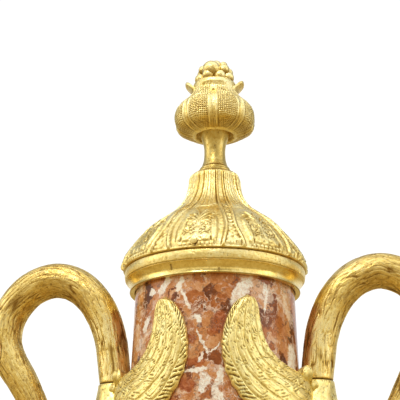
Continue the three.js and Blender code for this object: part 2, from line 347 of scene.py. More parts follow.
def maths(operation, a, b=0.0, clamp=False):
    """One sum on two fields or numbers."""
    tree = (a if isinstance(a, Field) else b).tree
    return node(tree, "Math", 0, {0: a, 1: b}, operation=operation, use_clamp=clamp)


def vectors(operation, a, b):
    """One sum on two places."""
    return node(a.tree, "VectorMath", 0, {0: a, 1: b}, operation=operation)


def ramp(source, *stops, between="EASE"):
    """Colours by value: each stop is a position and a grey or a colour."""
    made = node(source.tree, "ValToRGB", Fac=source)
    made.socket.node.color_ramp.interpolation = between
    band = made.socket.node.color_ramp.elements
    while len(band) < len(stops):
        band.new(0.5)
    for element, (position, colour) in zip(band, stops):
        element.position = position
        element.color = (*colour, 1) if isinstance(colour, tuple) else (*(colour,) * 3, 1)
    return made


def mix(factor, a, b, blend="MIX"):
    """Mixes two colours by a factor."""
    tree = next(v.tree for v in (factor, a, b) if isinstance(v, Field))
    a, b = ((*v, 1) if isinstance(v, tuple) else v for v in (a, b))
    return node(tree, "Mix", 2, {0: factor, 6: a, 7: b}, data_type="RGBA", blend_type=blend)


def noise(place, scale, detail, roughness=0.5, distortion=0.0):
    """Cloudy noise on a place; scale is in bumps per metre."""
    return node(place.tree, "TexNoise", "Fac", Vector=place, Scale=scale, Detail=detail,
                Roughness=roughness, Distortion=distortion)


def bump(height, distance, strength=1.0, **under):
    """Fine unevenness of the surface, on top of any Normal given."""
    return node(height.tree, "Bump", Height=height, Distance=distance,
                Strength=strength, **under)


def shader(name):
    """A new material with its node tree and its main shader's inputs."""
    material = bpy.data.materials.new(name)
    material.use_nodes = True
    tree = material.node_tree
    return material, tree, tree.nodes["Principled BSDF"].inputs


def gilt_finish(name, colour, deep, matt, shine, chased=0.0, streaks=None):
    """Gilded bronze: warm metal with a fine punched grain. The hollow attribute mixes in painted
    shade, with some patina, in chased hollows and a painted highlight on crests; painted shade also
    darkens the low spots of the hammered grain and of the engraved strokes, and shaded spots are
    rougher. chased is the depth in metres of small hammered unevenness; streaks adds engraved
    strokes, so many across and along, and so deep, with painted glints on their ridges."""
    material, tree, inputs = shader(name)
    place = node(tree, "TexCoord", "Object")
    hollow = node(tree, "Attribute", "Fac", attribute_name="hollow")
    cloud = noise(place, 60, 4, 0.6)
    worn = noise(place, 520, 3, 0.65)
    light = tuple(min(1.0, c * k) for c, k in zip(colour, (1.05, 1.14, 1.45)))
    dull = tuple(c * k for c, k in zip(colour, (0.84, 0.79, 0.64)))
    tone = ramp(cloud * 0.5 + worn * 0.5, (0.38, dull), (0.5, colour), (0.62, light),
                between="LINEAR")
    # crest: a painted highlight wherever the hollow attribute is below zero
    crest = maths("MULTIPLY", hollow, -1.0, True)
    shade = maths("MAXIMUM", hollow, 0.0)
    normal = bump(noise(place, 2600, 2), 0.00005)
    if chased:
        hammer = noise(place, 620, 3, 0.6)
        normal = bump(hammer, chased, Normal=normal)
        # painted shade in the low spots of the hammered grain
        shade = maths("ADD", shade, ramp(hammer, (0.28, 0.55), (0.43, 0)), True)
    if streaks:
        across, lengthwise, depth = streaks
        lay = node(tree, "Mapping", Vector=node(tree, "UVMap"),
                   Scale=(across, lengthwise, 1))
        strokes = noise(lay, 1.0, 2, 0.55, 0.9)
        normal = bump(strokes, depth, Normal=normal)
        # painted shade in the low spots of the engraved strokes
        shade = maths("ADD", shade, ramp(strokes, (0.28, 0.7), (0.4, 0)), True)
        # painted glints on the ridges of the engraved strokes
        crest = maths("ADD", crest, ramp(strokes, (0.56, 0), (0.66, 0.6)), True)
    tone = mix(crest, tone, HIGHLIGHT_GILDING)
    feed(normal, inputs["Normal"])
    # the deep colour is the painted shade, mixed in by the hollow attribute
    feed(mix(shade, tone, deep), inputs["Base Color"])
    feed(1.0, inputs["Metallic"])
    rough = shade * (matt - shine) + shine
    feed(maths("ADD", rough, (cloud - 0.5) * 0.2, True), inputs["Roughness"])
    return material


def patches(place, spots):
    """1 inside soft-edged ellipses on the marble's front, 0 elsewhere. Each is given by its
    middle (x, z), half width, half height and lean to the right in degrees."""
    total = None
    for x, z, wide, tall, lean in spots:
        y = -math.sqrt(marble_radius(z) ** 2 - x**2)
        own = node(place.tree, "Mapping", vector_type="TEXTURE", Vector=place,
                   Location=(x * MM, y * MM, z * MM), Rotation=(0, math.radians(lean), 0),
                   Scale=(wide * MM, PATCH_DEPTH * MM, tall * MM))
        far = node(place.tree, "VectorMath", "Value", {0: own}, operation="LENGTH")
        mask = ramp(far * 0.5, (0.4, 1), (0.56, 0))
        total = maths("MAXIMUM", total, mask) if total else mask
    return total


def shifted(place, by, scale, reach):
    """A place pushed about by cloudy noise, up to half of reach each way, in metres."""
    swirl = node(by.tree, "TexNoise", "Color", Vector=by, Scale=scale, Detail=4.0,
                 Roughness=0.65)
    middle = vectors("SUBTRACT", swirl, (0.5, 0.5, 0.5))
    push = node(by.tree, "VectorMath", 0, {0: middle}, operation="SCALE", Scale=reach)
    return vectors("ADD", place, push)


def winding(place, scale, width, level=0.5):
    """Thin winding lines: 1 where cloudy noise is at a level, fading over a width."""
    off = maths("ABSOLUTE", noise(place, scale, 5, 0.6, 0.4) - level)
    return ramp(maths("DIVIDE", off, width, True), (0.25, 1), (1.0, 0))


def marble_finish(name, turn_by=0.0, own_places=False):
    """Polished red breccia: pieces from brown to orange-red, cream veins that come and go, broad
    pale streaks and thin dark veins. own_places lays the vessel's largest pale and red patches
    where they are on it, and a tall pale strip near its right edge that is a painted reflection."""
    material, tree, inputs = shader(name)
    place = node(tree, "TexCoord", "Object")
    lean = node(tree, "Mapping", Vector=place, Location=(0.013, 0.02, 0.007),
                Rotation=(0.25, 0.4, turn_by))
    moved = shifted(lean, lean, 38.0, 0.03)
    moved = shifted(moved, lean, 190.0, 0.011)

    pieces = node(tree, "TexVoronoi", "Color", Vector=moved, Scale=BRECCIA_SCALE)
    edges = node(tree, "TexVoronoi", "Distance", feature="DISTANCE_TO_EDGE",
                 Vector=moved, Scale=BRECCIA_SCALE)
    parted = node(tree, "SeparateColor", Color=pieces)
    mottle = noise(moved, 380, 6, 0.72)
    tone = parted * 0.34 + (mottle * 0.42 + noise(moved, 60, 3, 0.6) * 0.3)
    red = ramp(tone, (0.34, (0.16, 0.06, 0.026)), (0.45, (0.37, 0.125, 0.038)),
               (0.55, (0.54, 0.215, 0.07)), (0.64, (0.68, 0.35, 0.15)),
               (0.74, (0.78, 0.55, 0.38)), between="LINEAR")
    often = (noise(place, 46, 3, 0.55) - 0.47) * 0.6
    vein = ramp(often - edges + 0.5, (0.49, 0), (0.55, 1))
    here = ramp(noise(lean, 55, 2), (0.42, 0), (0.58, 1))
    lines = winding(moved, 58, 0.03) * here
    pale = ramp(mottle, (0.36, (0.5, 0.26, 0.17)), (0.5, (0.76, 0.54, 0.41)),
                (0.6, (0.9, 0.8, 0.68)))
    colour = mix(maths("MAXIMUM", vein, lines) * 0.9, red, pale)
    streak = ramp(noise(moved, 24, 3, 0.55), (0.59, 0), (0.64, 1))
    white = ramp(mottle, (0.32, (0.66, 0.42, 0.31)), (0.44, (0.86, 0.72, 0.58)),
                 (0.54, (0.95, 0.91, 0.82)))
    if own_places:
        torn = shifted(shifted(place, place, 110.0, 0.008), place, 420.0, 0.0035)
        deep_red = ramp(mottle, (0.38, (0.34, 0.085, 0.022)), (0.6, (0.56, 0.2, 0.07)))
        colour = mix(patches(torn, RED_PLACES) * 0.85, colour, deep_red)
        # pale patches, one of them a painted reflection near the right edge
        streak = maths("MAXIMUM", streak * 0.5, patches(torn, PALE_PATCHES_AND_REFLECTION))
    colour = mix(streak, colour, white)
    dark = winding(moved, 85, 0.018, 0.47) * ramp(noise(place, 70, 2), (0.46, 0), (0.58, 1))
    spots = ramp(noise(moved, 210, 4, 0.6), (0.6, 0), (0.68, 1))
    dark = maths("MAXIMUM", dark, spots) * (0.7 - streak * 0.45)
    feed(mix(dark, colour, (0.16, 0.105, 0.085)), inputs["Base Color"])
    feed(0.13, inputs["Roughness"])
    feed(1.4, inputs["IOR"])
    feed(bump(mottle, 0.0001, 0.2), inputs["Normal"])
    return material


gilt = gilt_finish("matte_gilding", (0.95, 0.78, 0.34), (0.37, 0.235, 0.06), 0.58, 0.31, 0.0004)
feathered = gilt_finish("chased_gilding", (0.97, 0.81, 0.33), (0.2, 0.11, 0.02), 0.58, 0.35,
                        0.00015, (62, 13, 0.00016))
hairline = gilt_finish("hairline_gilding", (0.95, 0.73, 0.26), (0.32, 0.18, 0.035), 0.56, 0.27,
                       0.00015, (96, 30, 0.0002))
plain_gilt = gilt_finish("plain_gilding", (0.7, 0.53, 0.18), (0.26, 0.15, 0.03), 0.58, 0.33,
                         0.00012)
burnished = gilt_finish("burnished_gilding", (0.93, 0.74, 0.29), (0.22, 0.12, 0.02), 0.5, 0.22)
red_marble = marble_finish("red_breccia", own_places=True)
plinth_marble = marble_finish("red_breccia_plinth", 1.1)


# ---- the marble and its collar ----
def marble_body():
    """The outer profile turned, over the softened rim and down the inner wall."""
    outer, inner = flow(MARBLE_OUT, 72), flow(MARBLE_IN, 24)
    rim = corner(outer[-2], MARBLE_OUT[-1], MARBLE_IN[0], inner[1], cut=0.5)[1:-1]
    return turn(np.r_[outer[:-1], rim, inner[1:]], 176)


def rim_collar():
    """A plain band, hollowed out above to a sharp upper edge, and the flat seat inside. Its lower
    edge is darkened with painted shade, and it is marked by two short upright scores."""
    band = flow([(55.35, 270.75), (55.15, 271.7), (55.1, 272.8), (55.25, 274.0), (55.6, 275.1),
                 (56.15, 276.2), (56.9, 277.2), (57.9, 277.95)])
    start = corner((COLLAR_BORE, 272), (COLLAR_BORE, COLLAR_LIP), (55.1, COLLAR_LIP), band[0])
    seat = corner(band[-2], band[-1], (57.95, COLLAR_TOP), (SEAT_BORE, COLLAR_TOP),
                  (SEAT_BORE, RIM_TOP), (COLLAR_BORE, RIM_TOP), (COLLAR_BORE, 272.4), cut=0.15)
    profile = np.r_[start[:-1], band[:-1], seat[1:]]
    r, z = profile[:, :1], profile[:, 1:2]
    degrees = np.arange(360)
    # painted shade along the underside of the lower edge; the two scores are marks on the metal
    dark = 0.6 * ease((271.2 - z) / 0.5) * (r > 55.0)
    for turned, low, high in ((-21.8, 273.2, 277.2), (9.2, 270.6, 273.6)):
        score = bell(degrees - (FRONT % 360 + turned), 0.65)
        dark = np.maximum(dark, 0.9 * (score * ease((z - low) / 0.4) * ease((high - z) / 0.4)))
    return turn(profile, len(degrees), hollow=dark, ring=True)


# ---- the lid ----
def stroke(points, width, height, x, y):
    """A raised line of the given half width along a path of points, on places x, y."""
    far = (x[..., None] - points[:, 0]) ** 2 + (y[..., None] - points[:, 1]) ** 2
    near = np.sqrt(far.min(-1))
    run = np.clip(far.argmin(-1) / (len(points) - 1), 0.12, 0.88)
    return height * bell(near, width * (0.55 + 0.45 * np.sin(np.pi * run)))


def volute(cx, cy, radius, start, turns):
    """A spiral that winds in: its radius falls to a fifth as its angle turns."""
    t = np.linspace(0, 1, 44)
    a = start + turns * 2 * np.pi * t
    r = radius * (1 - 0.8 * t)
    return np.stack([cx + r * np.cos(a), cy + r * np.sin(a)], -1)


def lid_panel(x, y):
    """The foliage of one panel: x across and y up from the hem, in millimetres. Raised lines
    along spirals, a stem and sprays, the highest showing, over a leafy ground; a long veined leaf
    on each side and a row of small lobes below."""
    x = np.abs(x)
    lines = [
        (volute(4.9, 19.0, 3.6, -1.7, -1.3), 0.62, 0.95),
        (volute(5.2, 9.4, 3.2, 1.5, 1.3), 0.6, 0.9),
        (volute(2.2, 14.2, 1.9, 0.4, 1.1), 0.5, 0.75),
        (flow([(0.1, 5), (0.7, 9), (0.2, 14), (0, 22)]), 0.6, 0.75),
        (flow([(0.4, 21), (2.2, 26), (5.6, 28.6), (8.4, 27.6)]), 0.75, 0.95),
        (flow([(0.3, 23), (1.6, 29), (4.2, 32.5), (7.0, 32.8)]), 0.75, 0.9),
        (flow([(0.1, 24), (0.6, 30), (1.8, 35), (3.2, 38)]), 0.75, 0.9),
        (flow([(1.0, 13), (3.4, 12.6), (7.2, 13.6), (8.6, 16)]), 0.5, 0.8),
        (flow([(8.2, 19.5), (8.8, 22.5), (7.6, 25), (5.4, 24.6)], 26), 0.5, 0.8),
        (flow([(6.6, 5.6), (8.4, 7.4), (8.8, 9.8), (8.0, 12)], 26), 0.5, 0.75),
        (flow([(0.4, 17.6), (2.4, 16.6), (3.2, 18.4)], 16), 0.45, 0.7),
    ]
    high = 0.0
    for points, width, height in lines:
        high = np.maximum(high, stroke(points, 1.3 * width, height, x, y))
    field = ease((9.6 - x) / 1.2) * ease((y - 4.2) / 1.5) * ease((31 - y) / 6)
    leafy = grain(x / 40 + 0.1, y / 60, 18, 28, 5)
    high = np.maximum(high, field * np.clip(0.45 + 0.4 * leafy, 0, 0.8))
    lobes = np.abs(np.sin(x * 1.05)) * bell(y - 2.6, 1.3)
    high = np.maximum(high, 0.8 * lobes * ease((12 - x) / 1.5))
    lean = 12.0 - 0.085 * y
    inside = ease((y - 2) / 5) * ease((31 - y) / 7)
    leaf = ease(1.3 - np.abs(x - lean) / (0.3 + 2.1 * np.sin(np.pi * np.clip(y / 32, 0, 1))))
    return np.maximum(high, inside * leaf * (1 - 0.22 * bell(x - lean, 0.4)))


def lid_dome():
    """The lid's profile turned, with its chasing: in every repeat round it two ribs edge a strip,
    narrowest at the shoulder, and between strips lie foliage below and a broad veined leaf above.
    Inside is a plain wall in painted shade."""
    hem = corner((56.0, COLLAR_TOP), (58.1, 278.4), (58.5, 278.9), (58.9, 281.4), (58.8, 284.3),
                 (57.9, 284.6), (58.0, 285.0), (59.6, 285.1), cut=0.3, count=3)
    dome = flow([(59.6, 285.1), (60.7, 286.1), (60.9, 288.2), (59.8, 291.6), (57.2, 296.2),
                 (53.0, 302.0), (47.2, 309.4), (40.6, 316.0), (32.5, 322.0), (25.4, 327.8),
                 (21.2, 333.6), (18.6, 339.4), (17.3, 345), (16.9, 350)], 116,
                two_paces(82, 0.62, 0.63, 34))
    crown = flow([(16.9, 350), (16.4, 352.0), (14.6, 353.6), (12.2, 354.6)], 9)
    cap = corner(crown[-2], (11.6, FINIAL_SEAT), (10.5, FINIAL_SEAT), cut=0.2, count=3)[1:]
    profile = np.r_[hem[:-1], dome, crown[1:-1], cap]
    fine = 76
    around = LID_REPEATS * fine
    r, z = profile[:, :1], profile[:, 1:2]
    rise = run_length(profile)[:, None]
    rise = rise - rise[len(hem) - 1]
    turned = (np.arange(fine) / fine - 0.5) * LID_PANEL
    side = np.abs(np.radians(turned)) * r
    edge = np.radians(3 + 3.2 * ease((303 - z) / 18) + 3.5 * ease((z - 303) / 34)) * r
    body = ease((z - 285.3) / 1.2) * ease((353.6 - z) / 2.5)
    lower, upper = ease((324 - z) / 4), ease((z - 319) / 6)

    ribs = bell(side - edge, 0.95 - 0.3 * upper)
    within = ease((edge - side) / 0.8)
    signed = np.radians(turned) * r
    beads = 0.42 * lower * within * grain(signed / 40 + 0.5, rise / 60, 22, 32, 8)
    cross = np.interp(321.5, dome[:, 1], rise[len(hem) - 1:len(hem) - 1 + len(dome), 0])
    leaves = bell(side - 0.62 * np.abs(rise - cross), 0.55) * bell(rise - cross, 4.5)
    panel_x = (np.abs(turned) - LID_PANEL / 2) * np.pi / 180 * r
    scrolls = lid_panel(panel_x, rise) * (1 - within) * lower
    width = np.radians(LID_PANEL / 2) * r - edge
    across = np.clip(np.abs(panel_x) / np.maximum(width, 0.1), 0, 1)
    veins = 0.3 * bell(across - 0.2, 0.055) + 0.22 * bell(across - 0.5, 0.05)
    broad = upper * (1 - within) * (0.92 * ease((0.84 - across) / 0.12) - veins)
    arch = 0.85 * bell(rise - 47.5 - 2.2 * across**2, 0.8) * (1 - within) * lower
    strip = within * np.maximum(0.34 + beads, 0.95 * leaves)
    high = np.tile(np.maximum.reduce([1.45 * ribs, scrolls, broad, arch, strip]),
                   (1, LID_REPEATS))

    depth = np.minimum(1.7, 0.074 * r)
    theta, up = np.arange(around) / around, rise / rise.max()
    relief = body * (depth * (high - 1.0) + 0.1 * grain(theta, up, 200, 60, 4))
    # painted_sheen: a painted highlight along the rib crests
    painted_sheen = np.tile(1.5 * bell(side - edge, 0.45), (1, LID_REPEATS))
    # Painted shade in the chased crevices, stronger on the upper dome, less the painted highlight
    # on the rib crests and a slight lift overall.
    shade = body * (1.45 * (crevice(high * body, 1, 3.2) + crevice(high * body, 2, 1.5))
                    * (1 + 0.5 * upper) - 0.55 * painted_sheen - 0.18)
    # more painted shade over the upper dome, plus an uneven tone
    shade = np.clip(shade + 0.28 * ease((z - 322) / 14) * (z < 354)
                    + 0.12 * body * grain(theta, up, 70, 20, 9), -0.9, 1)
    # a painted shadow line under the hem's step, and faint painted shade on the hem below it
    dark = np.maximum(0.8 * bell(z - 284.8, 0.3) * (r < 58.5), 0.06 * (z < 284.6))
    shade = np.maximum(shade, dark)
    angle = np.radians(LID_TURN + FRONT - LID_PANEL / 2) + 2 * np.pi * theta
    vault = flow([(12, 350.2), (13.4, 345), (16.6, 335), (22.5, 325), (34, 314.5),
                  (44, 304), (51.5, 295), (53.6, 287), (53.6, 281)], 11)
    wall = np.r_[vault, [(53.8, COLLAR_TOP)]][::-1]
    points = np.r_[polar(r + relief, angle, z)[::-1],
                   polar(wall[:, :1], angle, wall[:, 1:2])]
    # the inner wall is given painted shade
    return skin(points, np.r_[shade[::-1], np.full((len(wall), around), 0.6)])


def hem_studs():
    """The pins that hold the lid's chased shell, in front and behind: low domes with a faint
    painted highlight, in rims of painted shade.
    """
    reach, height, radius, thick = 61.15, 289.3, 2.4, 0.45
    t, w = steps(9), angles(28)
    size = radius * np.r_[np.ones((3, 1)), np.cos(t * np.pi / 2 * 0.96)]
    out = np.r_[[[-1.5]], [[-0.5]], [[0.0]], thick * np.sin(t * np.pi / 2)]
    # painted shade on the rim rows, a faint painted highlight on the dome
    shade = np.full(size.shape, -0.2)
    shade[:5] = 1.0
    made = []
    for turned in (-5.6, 174.4):
        angle = np.radians(turned + FRONT)
        face = np.array([np.cos(angle), np.sin(angle), 0.0])
        side = np.array([-np.sin(angle), np.cos(angle), 0.0])
        points = (face * (reach + out)[..., None] + side * (size * np.cos(w))[..., None]
                  + np.array([0, 0, 1.0]) * (height + size * np.sin(w))[..., None])
        made.append(skin(points, shade))
    return made


# ---- the finial ----
def bud_stem():
    """The turned stem: a ringed foot, a slim waist with a shallow pin hole darkened by painted
    shade, a flare under the bud.
    """
    foot = corner((9.5, FINIAL_SEAT), (11.2, FINIAL_SEAT), (11.3, 356.4), (10.2, 357.1),
                  (10.2, 358.2), (9.2, 359.2), (8.7, 360.4), cut=0.3)
    waist = flow([(8.7, 360.4), (7.7, 363.6), (7.2, 368), (7.25, 373), (8.1, 377.6), (9.5, 381.4),
                  (11.2, 385.0)], 36)
    profile = np.r_[foot[:-1], waist]
    around, per_degree = 96, 0.127
    w = np.arange(around) * 360 / around
    # the pin hole's darkness is painted shade
    hole = bell((w - 276.5) * per_degree, 0.5) * bell(profile[:, 1:2] - 373.2, 0.5)
    return turn(profile, around, -0.5 * hole, hole)


def bud():
    """The fruit: full panels between double ribs, on a swelling profile that draws in to a neck.
    A rib is two rounded ridges beside a flat channel; a fine lattice of crossed waves is cut in
    the panels. The underside is dished inside a rounded edge; a small pit lies in front."""
    under = flow([(8.6, 384.9), (10.6, 384.6), (11.8, 384.0), (12.6, 383.1), (13.3, 382.2),
                  (14.1, 382.0), (14.8, 382.5), (15.5, 383.1), (16.4, 383.4)])
    belly = flow([(16.4, 383.4), (19.4, 384.2), (22.8, 385.9), (25.2, 387.4), (26.6, 389.6),
                  (27.3, 393.0), (27.3, 396.4), (26.5, 400.2), (24.5, 403.6), (20.8, 407.2),
                  (17.5, 410.8), (15.8, 414.4), (15.5, 417.6), (14.8, 421.0), (12.0, 423.4),
                  (8, 424.6)], 158)
    profile = np.r_[under[:-1], belly]
    r, z = profile[:, :1], profile[:, 1:2]
    fine = 46
    around = BUD_LOBES * fine
    lobe = (np.arange(around) % fine) / fine - 0.5
    theta = np.arange(around) / around
    side = np.radians((0.5 - np.abs(lobe)) * BUD_LOBE) * r
    step = run_length(profile)[:, None]
    up = step / step.max()

    swell = np.abs(np.cos(np.pi * lobe)) ** 0.8
    low = ease((404 - z) / 18) * ease((z - 380.6) / 5)
    shape = r * (0.012 + 0.075 * low) * (swell - 0.72)
    body = ease((z - 381.2) / 4) * ease((419 - z) / 4)
    gap = 1.95 * ease((418 - z) / 16) + 0.45
    fade = 0.25 + 0.75 * ease((412 - z) / 9)
    ribs = 0.62 * bell(side - gap, 0.62) * fade
    channel = -0.25 * ease((gap - side) / 0.7) * fade
    lattice = ease((side - gap - 0.9) / 0.9)
    stray = 0.7 * grain(theta, up, 56, 22, 7)
    lines = 1.3 * np.sin(2.3 * (side + step) + stray) * np.sin(2.3 * (side - step) - stray)
    cut = 0.56 * lattice * ease((z - 386) / 6) * lines * ease((417 - z) / 6)
    pit = bell(np.minimum(theta, 1 - theta) * around, 2.6) * bell(z - 410.4, 1.2)
    relief = shape + body * (ribs + channel + cut)
    relief = relief + 0.16 * body * lattice * grain(theta, up, 90, 40, 3) - 0.8 * pit

    # Painted shade in the crevices, the lattice cuts, beside the ribs, in the pit and under the
    # bud; a painted highlight on the rib ridges and over the upper bud.
    shade = body * np.clip(1.2 * crevice(relief, 2, 2.2) + 0.6 * lattice * ease(-1.6 * lines)
                           + 0.45 * ease((388 - z) / 3)
                           + 0.45 * bell(side - gap - 1.0, 0.35) * fade + 1.5 * pit
                           - 0.3 * bell(side - gap, 0.4) * fade
                           - 0.1 - 0.26 * ease((z - 388) / 8), -0.8, 1)
    # a painted highlight on the rounded edge of the underside, painted shade round the stem inside
    # it
    lip = bell(r - 14.1, 1.0) * (z < 383.6)
    shade = np.where(z < 384.9, np.where(r < 13, 0.45, shade) * (1 - lip) - 0.7 * lip, shade)
    return skin(polar(r + relief, np.radians(BUD_TURN + FRONT) + 2 * np.pi * theta, z), shade)


def petals():
    """The bud's open mouth: over each handle a tall petal that curls out and over, in front and
    behind a low upright one. Each point is a mixture of three paths, for the tall petal, the low
    one and the notch between, each closed down its inner face."""
    rows, around = 48, 240
    w = np.arange(around) / around * 360
    tall = ease((1 - np.abs((w % 180) - 90) / 36) / 0.75)[:, None]
    low = ease((1 - np.abs((w + 90) % 180 - 90) / 44) / 0.5)[:, None]
    crest = flow([(15.3, 408), (15.6, 412), (16.3, 415.2), (17.8, 418.0), (19.3, 419.8),
                  (20.3, 420.7), (20.6, 421.8), (19.9, 422.9), (18.4, 422.6), (16.7, 420.4),
                  (15.2, 417), (14, 413)], rows)
    upright = flow([(15.0, 408), (15.3, 412), (15.6, 414.6), (15.95, 416.4), (16.3, 417.6),
                    (16.4, 418.2), (16.1, 418.6), (15.6, 418.4), (15.2, 417.2), (14.8, 415.6),
                    (14.3, 413.6), (13.6, 411)], rows)
    notch = flow([(15.0, 408), (15.2, 411), (15.3, 413), (15.4, 414.6), (15.5, 415.4),
                  (15.5, 415.9), (15.3, 416.2), (15.0, 416.1), (14.7, 415.4), (14.3, 414.2),
                  (14.0, 412.8), (13.6, 410.8)], rows)
    path = (notch[:, None] * (1 - tall) * (1 - low) + crest[:, None] * tall
            + upright[:, None] * low * (1 - tall))
    t = steps(rows)
    beads = 0.1 * np.cos(np.radians(w) * 40) * bell(t - 0.44, 0.06) * low[:, 0]
    # painted shade on the petals' inner faces and in a band low on their outer faces
    shade = np.clip(0.1 + 0.7 * ease((t - 0.55) / 0.2) + 0.35 * bell(t - 0.2, 0.1), 0, 1)
    return skin(polar(path[..., 0] + beads, np.radians(BUD_TURN + FRONT + w), path[..., 1]), shade)


def globe(rows, around, reach=0.97):
    """Angles up and round a ball that stops short of its poles."""
    return np.linspace(-reach, reach, rows)[:, None] * np.pi / 2, angles(around)


def egg(wide, tall, up, w):
    """An egg about the origin: its half width times the cosine of the angle up, its half height
    times the sine."""
    return polar(wide * np.cos(up), w, tall * np.sin(up))


def berry(x, y, z, radius):
    """A round berry, with painted shade underneath and a faint painted highlight on top."""
    up, w = globe(16, 24)
    return skin(egg(radius, radius, up, w) + (x, y, z),
                np.clip(-np.sin(up) * 1.1 - 0.05, -0.3, 1))


def berries():
    """The cluster on top: uneven berries round a core, the largest in front, one on top."""
    made = [berry(0, 0, 424.6, 9.4)]
    for k in range(BUD_LOBES):
        a = np.radians(BUD_TURN + FRONT + BUD_LOBE * (k + 0.5))
        made.append(berry(10.2 * np.cos(a), 10.2 * np.sin(a), 424.2 + 1.0 * (k % 2), 4.3))
    for place in ((-1.4, -8.6, 429.6, 6.4), (7.0, -5.4, 430.6, 4.0), (9.0, 1.0, 430.8, 3.9),
                  (4.6, 7.2, 431.0, 4.0), (-3.4, 7.6, 430.4, 4.2), (-8.4, 1.4, 430.8, 4.1),
                  (-7.6, -4.4, 431.6, 3.3), (1.0, -1.2, 435.6, 4.4), (6.4, -2.2, 435.4, 2.9),
                  (-3.6, 3.0, 434.4, 3.6)):
        made.append(berry(*place))
    return made


# ---- the swans ----
def mirrored(shapes, side):
    """Closed surfaces from pairs of points and shade, made for the right and put on a side."""
    return [skin(points * (side, 1, 1), shade) for points, shade in shapes]


def swan_neck(side):
    """The neck as a tube along its path, cut with long winding lines where a random field, fine
    round the neck and stretched along it, crosses zero. It ends in a head, bill and eyes."""
    rows, around = 262, 160
    spread = two_paces(5, 0.005, 0.008, rows - 5)
    line = flow(NECK_PATH, rows, spread)
    path = np.stack([line[:, 0], 0 * line[:, 0], line[:, 1]], -1)
    run = np.gradient(path, axis=0)
    run /= np.linalg.norm(run, axis=1)[:, None]
    across = np.array([0.0, 1.0, 0.0])
    t = spread[:, None]
    blend = ease(t / 0.05)
    out = blend * np.cross(across, run) + (1 - blend) * np.array([1.0, 0, 0])
    out /= np.linalg.norm(out, axis=1)[:, None]

    w = angles(around)
    u = w / (2 * np.pi) + 0.12 * t
    u = u + 0.028 * grain(u, t, 4, 20, 41 + side) + 0.005 * grain(u, t, 12, 44, 51 + side)
    first = grain(u, t, 34, 15, 11 + side)
    second = grain(u + 0.3, t, 62, 30, 23 + side)
    broad = grain(u, t, 8, 16, 31)
    head = ease((t - 0.8) / 0.03)
    feather = ease((t - 0.004) / 0.012) * (1 - head)
    deep, shallow = bell(first, 0.15), bell(second, 0.2)
    stray = ease(0.5 + 0.9 * grain(u + 0.6, t, 12, 24, 71 + side))
    relief = feather * (-0.06 - 0.36 * deep * stray - 0.22 * shallow + 0.08 * broad + 0.1 * first)
    seam = -0.45 * bell(t, 0.0016)
    jaw = bell(np.abs(np.sin(w)) - 1, 0.1) * ease((t - 0.925) / 0.02)
    relief = relief - 0.35 * jaw + seam
    # painted_sheen: a painted highlight on the lower limb, less a little painted shade over the top
    # of the loop
    painted_sheen = 0.8 * ease((0.22 - t) / 0.08) - 0.26 * bell(t - 0.34, 0.08)
    # painted shade in the engraved lines and along the jaw; the dark line at the neck's foot is its
    # joint
    cuts = 0.9 * deep * stray + 0.5 * shallow
    shade = np.clip(feather * (cuts - painted_sheen * (1 - np.clip(1.8 * cuts, 0, 1))) + 0.5 * jaw
                    + 0.9 * bell(t, 0.002), -0.8, 1)
    a, b = line[:, 2:3] + relief, line[:, 3:4] + relief
    points = (path[:, None] + (a * np.cos(w))[..., None] * out[:, None]
              + (b * np.sin(w))[..., None] * across)
    shapes = [(points, shade)]
    k = int(0.872 * rows)
    for face in (1, -1):
        eye = path[k] + out[k] * 3.2 + across * face * line[k, 3] * 0.93
        shapes.append((egg(1.35, 0.9, *globe(12, 18))[..., [0, 2, 1]] + eye, 0.3))
    return mirrored(shapes, side)


def breast():
    """The swan's breast: ellipses from the seam down, full at the crop and drawn in to a leaf
    point, moved straight out where they would lie in the marble; the neck's lines run on into it
    and give way to overlapping feather tips."""
    rows, around = 130, 120
    spread = two_paces(5, 0.012, 0.018, rows - 5)
    line = flow(BREAST, rows, spread)
    z, x, a, b = (line[:, k:k + 1] for k in range(4))
    w = angles(around)
    t = spread[:, None]
    row = t * 15
    shift = 0.5 * (np.floor(row) % 2)
    cell = (w / (2 * np.pi) * 16 + shift) % 1 - 0.5
    drop = row % 1
    tip = drop - 0.75 + 1.6 * cell**2
    band = ease((t - 0.2) / 0.08) * ease((0.93 - t) / 0.1)
    scale = band * (0.6 * ease((0.12 - tip) / 0.15) * drop - 0.14 * bell(cell, 0.06))
    wander = 0.03 * grain(w / 6.283, t, 6, 20, 3)
    lines = bell(grain(w / (2 * np.pi) + wander, t, 34, 12, 12), 0.2)
    upper = ease((0.3 - t) / 0.1) * ease((t - 0.012) / 0.02)
    seam = -0.45 * bell(t, 0.005)
    relief = scale - 0.3 * upper * lines + seam
    close = np.sqrt(np.clip(1 - ((t - 0.93) / 0.07) ** 2, 0.0004, 1)) ** (t > 0.93)
    keel = 0.8 * close * bell(w - np.pi * (w > np.pi) * 2, 0.16) * ease((t - 0.62) / 0.2)
    x = x + close * (a + relief) * np.cos(w) + keel * np.cos(w)
    y = close * (b + relief) * np.sin(w)
    grow = np.maximum(1.0, (marble_radius(z) + 0.2) / np.hypot(x, y))
    points = np.stack([x * grow, y * grow, z + 0 * w], -1)
    # Painted shade under the feather tips, between the feathers and in the neck's lines, lifted
    # slightly overall; the dark line at the seam is a joint.
    shade = np.clip(band * (bell(tip - 0.12, 0.12) + 0.6 * bell(cell, 0.05)) + 0.35 * upper * lines
                    + 0.9 * bell(t, 0.006) - 0.15, -0.15, 1)
    return points, shade


